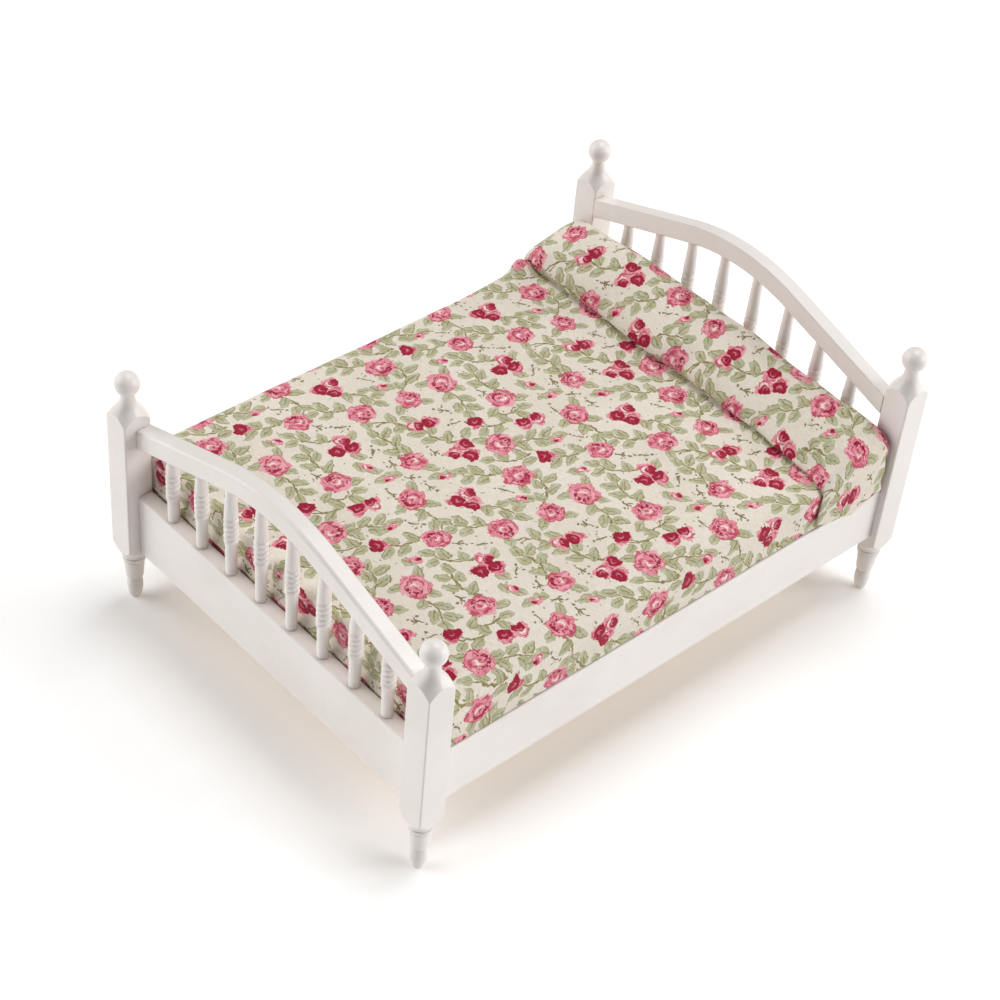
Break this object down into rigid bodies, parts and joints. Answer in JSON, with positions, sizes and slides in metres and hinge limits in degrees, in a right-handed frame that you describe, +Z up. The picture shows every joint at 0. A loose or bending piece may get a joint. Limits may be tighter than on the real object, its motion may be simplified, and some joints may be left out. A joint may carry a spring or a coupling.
{
  "type": "dolls house double bed",
  "caption": "Miniature double bed with turned corner posts, arched spindle headboard and footboard, a lift-out mattress and a pillow in floral cotton.",
  "frame": {"origin": "on the ground at the centre of the four feet", "axes": "+Z up, +Y towards the headboard, +X towards the right-hand side seen from the foot of the bed"},
  "size_m": [0.1302, 0.175, 0.0864],
  "materials": {
    "white_paint": "satin white paint",
    "bare_wood": "bare, sanded",
    "print_cotton": "plain-weave cotton with a small rose print",
    "foam": "open-cell foam"
  },
  "bodies": {
    "bed_frame": {"foot_post_left": "white_paint", "foot_post_right": "white_paint", "head_post_left": "white_paint", "head_post_right": "white_paint", "foot_spindle_1": "white_paint", "foot_spindle_2": "white_paint", "foot_spindle_3": "white_paint", "foot_spindle_4": "white_paint", "foot_spindle_5": "white_paint", "foot_spindle_6": "white_paint", "foot_spindle_7": "white_paint", "foot_spindle_8": "white_paint", "foot_lower_rail": "white_paint", "foot_arch_rail": "white_paint", "head_spindle_1": "white_paint", "head_spindle_2": "white_paint", "head_spindle_3": "white_paint", "head_spindle_4": "white_paint", "head_spindle_5": "white_paint", "head_spindle_6": "white_paint", "head_spindle_7": "white_paint", "head_spindle_8": "white_paint", "head_lower_rail": "white_paint", "head_arch_rail": "white_paint", "side_rail_left": "white_paint", "side_rail_right": "white_paint", "ledger_left": "bare_wood", "ledger_right": "bare_wood", "rail_dowels": "bare_wood", "base_panel": "bare_wood"},
    "mattress": {"mattress_core": "foam", "mattress_cover": "print_cotton"},
    "pillow": {"pillow_core": "foam", "pillow_cover": "print_cotton"}
  },
  "joints": [
    {"name": "mattress_lift", "type": "slide", "parent": "bed_frame", "child": "mattress", "axis": [0, 0, 1], "range_m": [0, 0.06]},
    {"name": "pillow_lift", "type": "slide", "parent": "mattress", "child": "pillow", "axis": [0, 0, 1], "range_m": [0, 0.04]}
  ]
}
